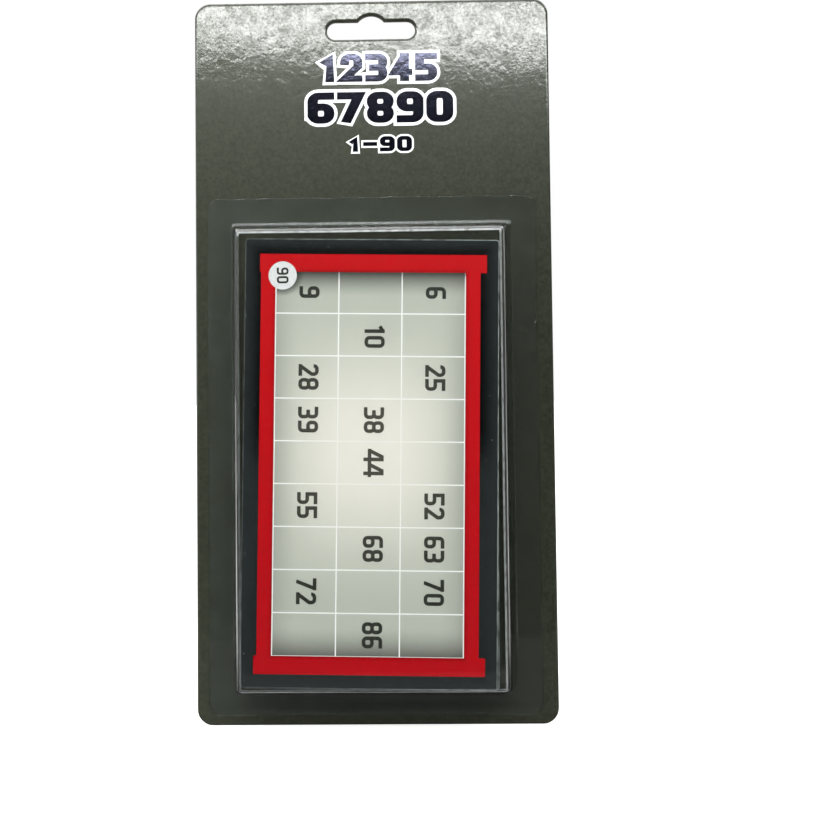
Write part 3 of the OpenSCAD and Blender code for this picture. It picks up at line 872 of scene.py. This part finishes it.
def sees_straight(tree, seen):
    """1 for what the camera sees, straight or through clear plastic but not in a mirror."""
    bounced = reckon(tree, "ADD", seen["Glossy Depth"], seen["Diffuse Depth"])
    through = times(tree, reckon(tree, "LESS_THAN", bounced, 0.5), seen["Is Transmission Ray"])
    return reckon(tree, "MAXIMUM", through, seen["Is Camera Ray"])


# The glossy card hardly mirrors the floor in front of it, not through the blister either
seen = put(tree, "ShaderNodeLightPath").outputs
aside = reckon(tree, "ABSOLUTE", axes(tree, own_place(tree))["X"])
dimmed = blend(tree, ramp(tree, aside, 0.09, 0.16), (0.06, 0.06, 0.06), (0.4, 0.4, 0.4))
mirrored = reckon(tree, "GREATER_THAN", seen["Glossy Depth"], 0.5)
wire(tree, shader, Base_Color=blend(tree, mirrored, (0.86, 0.86, 0.86), dimmed))
bright = times(tree, sees_straight(tree, seen), 0.62)
glow = put(tree, "ShaderNodeEmission", {"Color": WHITE, "Strength": bright})
lit = put(tree, "ShaderNodeAddShader", {0: shader.outputs["BSDF"], 1: glow.outputs["Emission"]})
wire(tree, tree.nodes["Material Output"], Surface=lit.outputs["Shader"])
floor = make_piece("studio_floor",
                   [(-FLOOR_REACH, FLOOR_FRONT, FLOOR_Z), (FLOOR_REACH, FLOOR_FRONT, FLOOR_Z),
                    (FLOOR_REACH, FLOOR_REACH, FLOOR_Z), (-FLOOR_REACH, FLOOR_REACH, FLOOR_Z)],
                   [(0, 1, 2, 3)], [floor_white])

scene = bpy.context.scene
scene.view_settings.view_transform = "Standard"
world = bpy.data.worlds.new("studio")
world.use_nodes = True
scene.world = world
tree = world.node_tree
surround = tree.nodes["Background"]
surround.inputs["Color"].default_value = WHITE
seen = put(tree, "ShaderNodeLightPath").outputs
way = axes(tree, put(tree, "ShaderNodeTexCoord").outputs["Generated"])
# In mirrors the surround is white behind and beside the pack, dark in front of it, and bright overhead
sides = times(tree, ramp(tree, way["Y"], -0.75, -0.2, 0.015, 1.0), ramp(tree, way["X"], -0.5, 0.5, 0.12, 0.35))
mirrored = reckon(tree, "ADD", sides, ramp(tree, way["Z"], 0.45, 0.65, 0.0, 2.0))
scattered = reckon(tree, "GREATER_THAN", seen["Diffuse Depth"], 0.5)
indirect = put(tree, "ShaderNodeMix", {"Factor": scattered, "A": mirrored, "B": 0.85})
strength = put(tree, "ShaderNodeMix", {"Factor": sees_straight(tree, seen),
                                       "A": indirect.outputs["Result"], "B": 1.0})
wire(tree, surround, Strength=strength.outputs["Result"])


def soft_lamp(name, place, aim, width, height, watts, **seen_by):
    lamp = bpy.data.lights.new(name, "AREA")
    lamp.shape = "RECTANGLE"
    lamp.size, lamp.size_y, lamp.energy = width, height, watts
    hung = bpy.data.objects.new(name, lamp)
    bpy.context.scene.collection.objects.link(hung)
    hung.location = place
    way = [b - a for a, b in zip(place, aim)]
    hung.rotation_euler = mathutils.Vector(way).to_track_quat("-Z", "Y").to_euler()
    hung.visible_transmission = False
    for ray, value in seen_by.items():
        setattr(hung, ray, value)
    return hung


soft_lamp("lamp_over_front", (0.0, -0.9, 0.62), (0, 0, -0.12), 1.3, 0.55, 13.5, visible_glossy=False)
soft_lamp("lamp_left", (-1.1, -0.5, 0.1), (0, 0, -0.13), 0.5, 0.9, 2.5)
# What the glossy card mirrors of the upper lamp is its lower rim, a bright strip
strip = soft_lamp("lamp_strip", (0.0, -0.9, 0.354), (0, 0, 0.354), 1.3, 0.098, 5.3, visible_diffuse=False)
strip.rotation_euler.rotate_axis("Z", math.radians(-3.0))
strip.data.color = (0.985, 1.0, 0.97)

# The camera was fitted to the backing card's corners and the blister's outline. Its place is in metres,
# its tilts in degrees and its sensor in millimetres. The last line is in pixels of the photograph: its
# width, the lens, and where the lens points.
CAMERA_PLACE, CAMERA_TILTS, SENSOR = (0.0115, -0.3176, -0.1196), (1.8, -0.86, -0.63), 36
PHOTO, FOCAL, MIDDLE_X, MIDDLE_Y = 839, 890, 393, 335
lens = bpy.data.cameras.new("camera")
camera = bpy.data.objects.new("camera", lens)
scene.collection.objects.link(camera)
lens.sensor_width, lens.lens = SENSOR, SENSOR * FOCAL / PHOTO
lens.shift_x, lens.shift_y = (PHOTO / 2 - MIDDLE_X) / PHOTO, (MIDDLE_Y - PHOTO / 2) / PHOTO
tilt_x, tilt_y, tilt_z = (math.radians(a) for a in CAMERA_TILTS)
view = (mathutils.Matrix.Rotation(tilt_z, 3, "Z") @ mathutils.Matrix.Rotation(tilt_x, 3, "X")
        @ mathutils.Matrix.Rotation(tilt_y, 3, "Y"))
right, down, back = ((row[0], -row[2], -row[1]) for row in view)
turned = mathutils.Matrix((right, [-v for v in down], back)).transposed()
camera.matrix_world = mathutils.Matrix.Translation(CAMERA_PLACE) @ turned.to_4x4()
scene.camera = camera
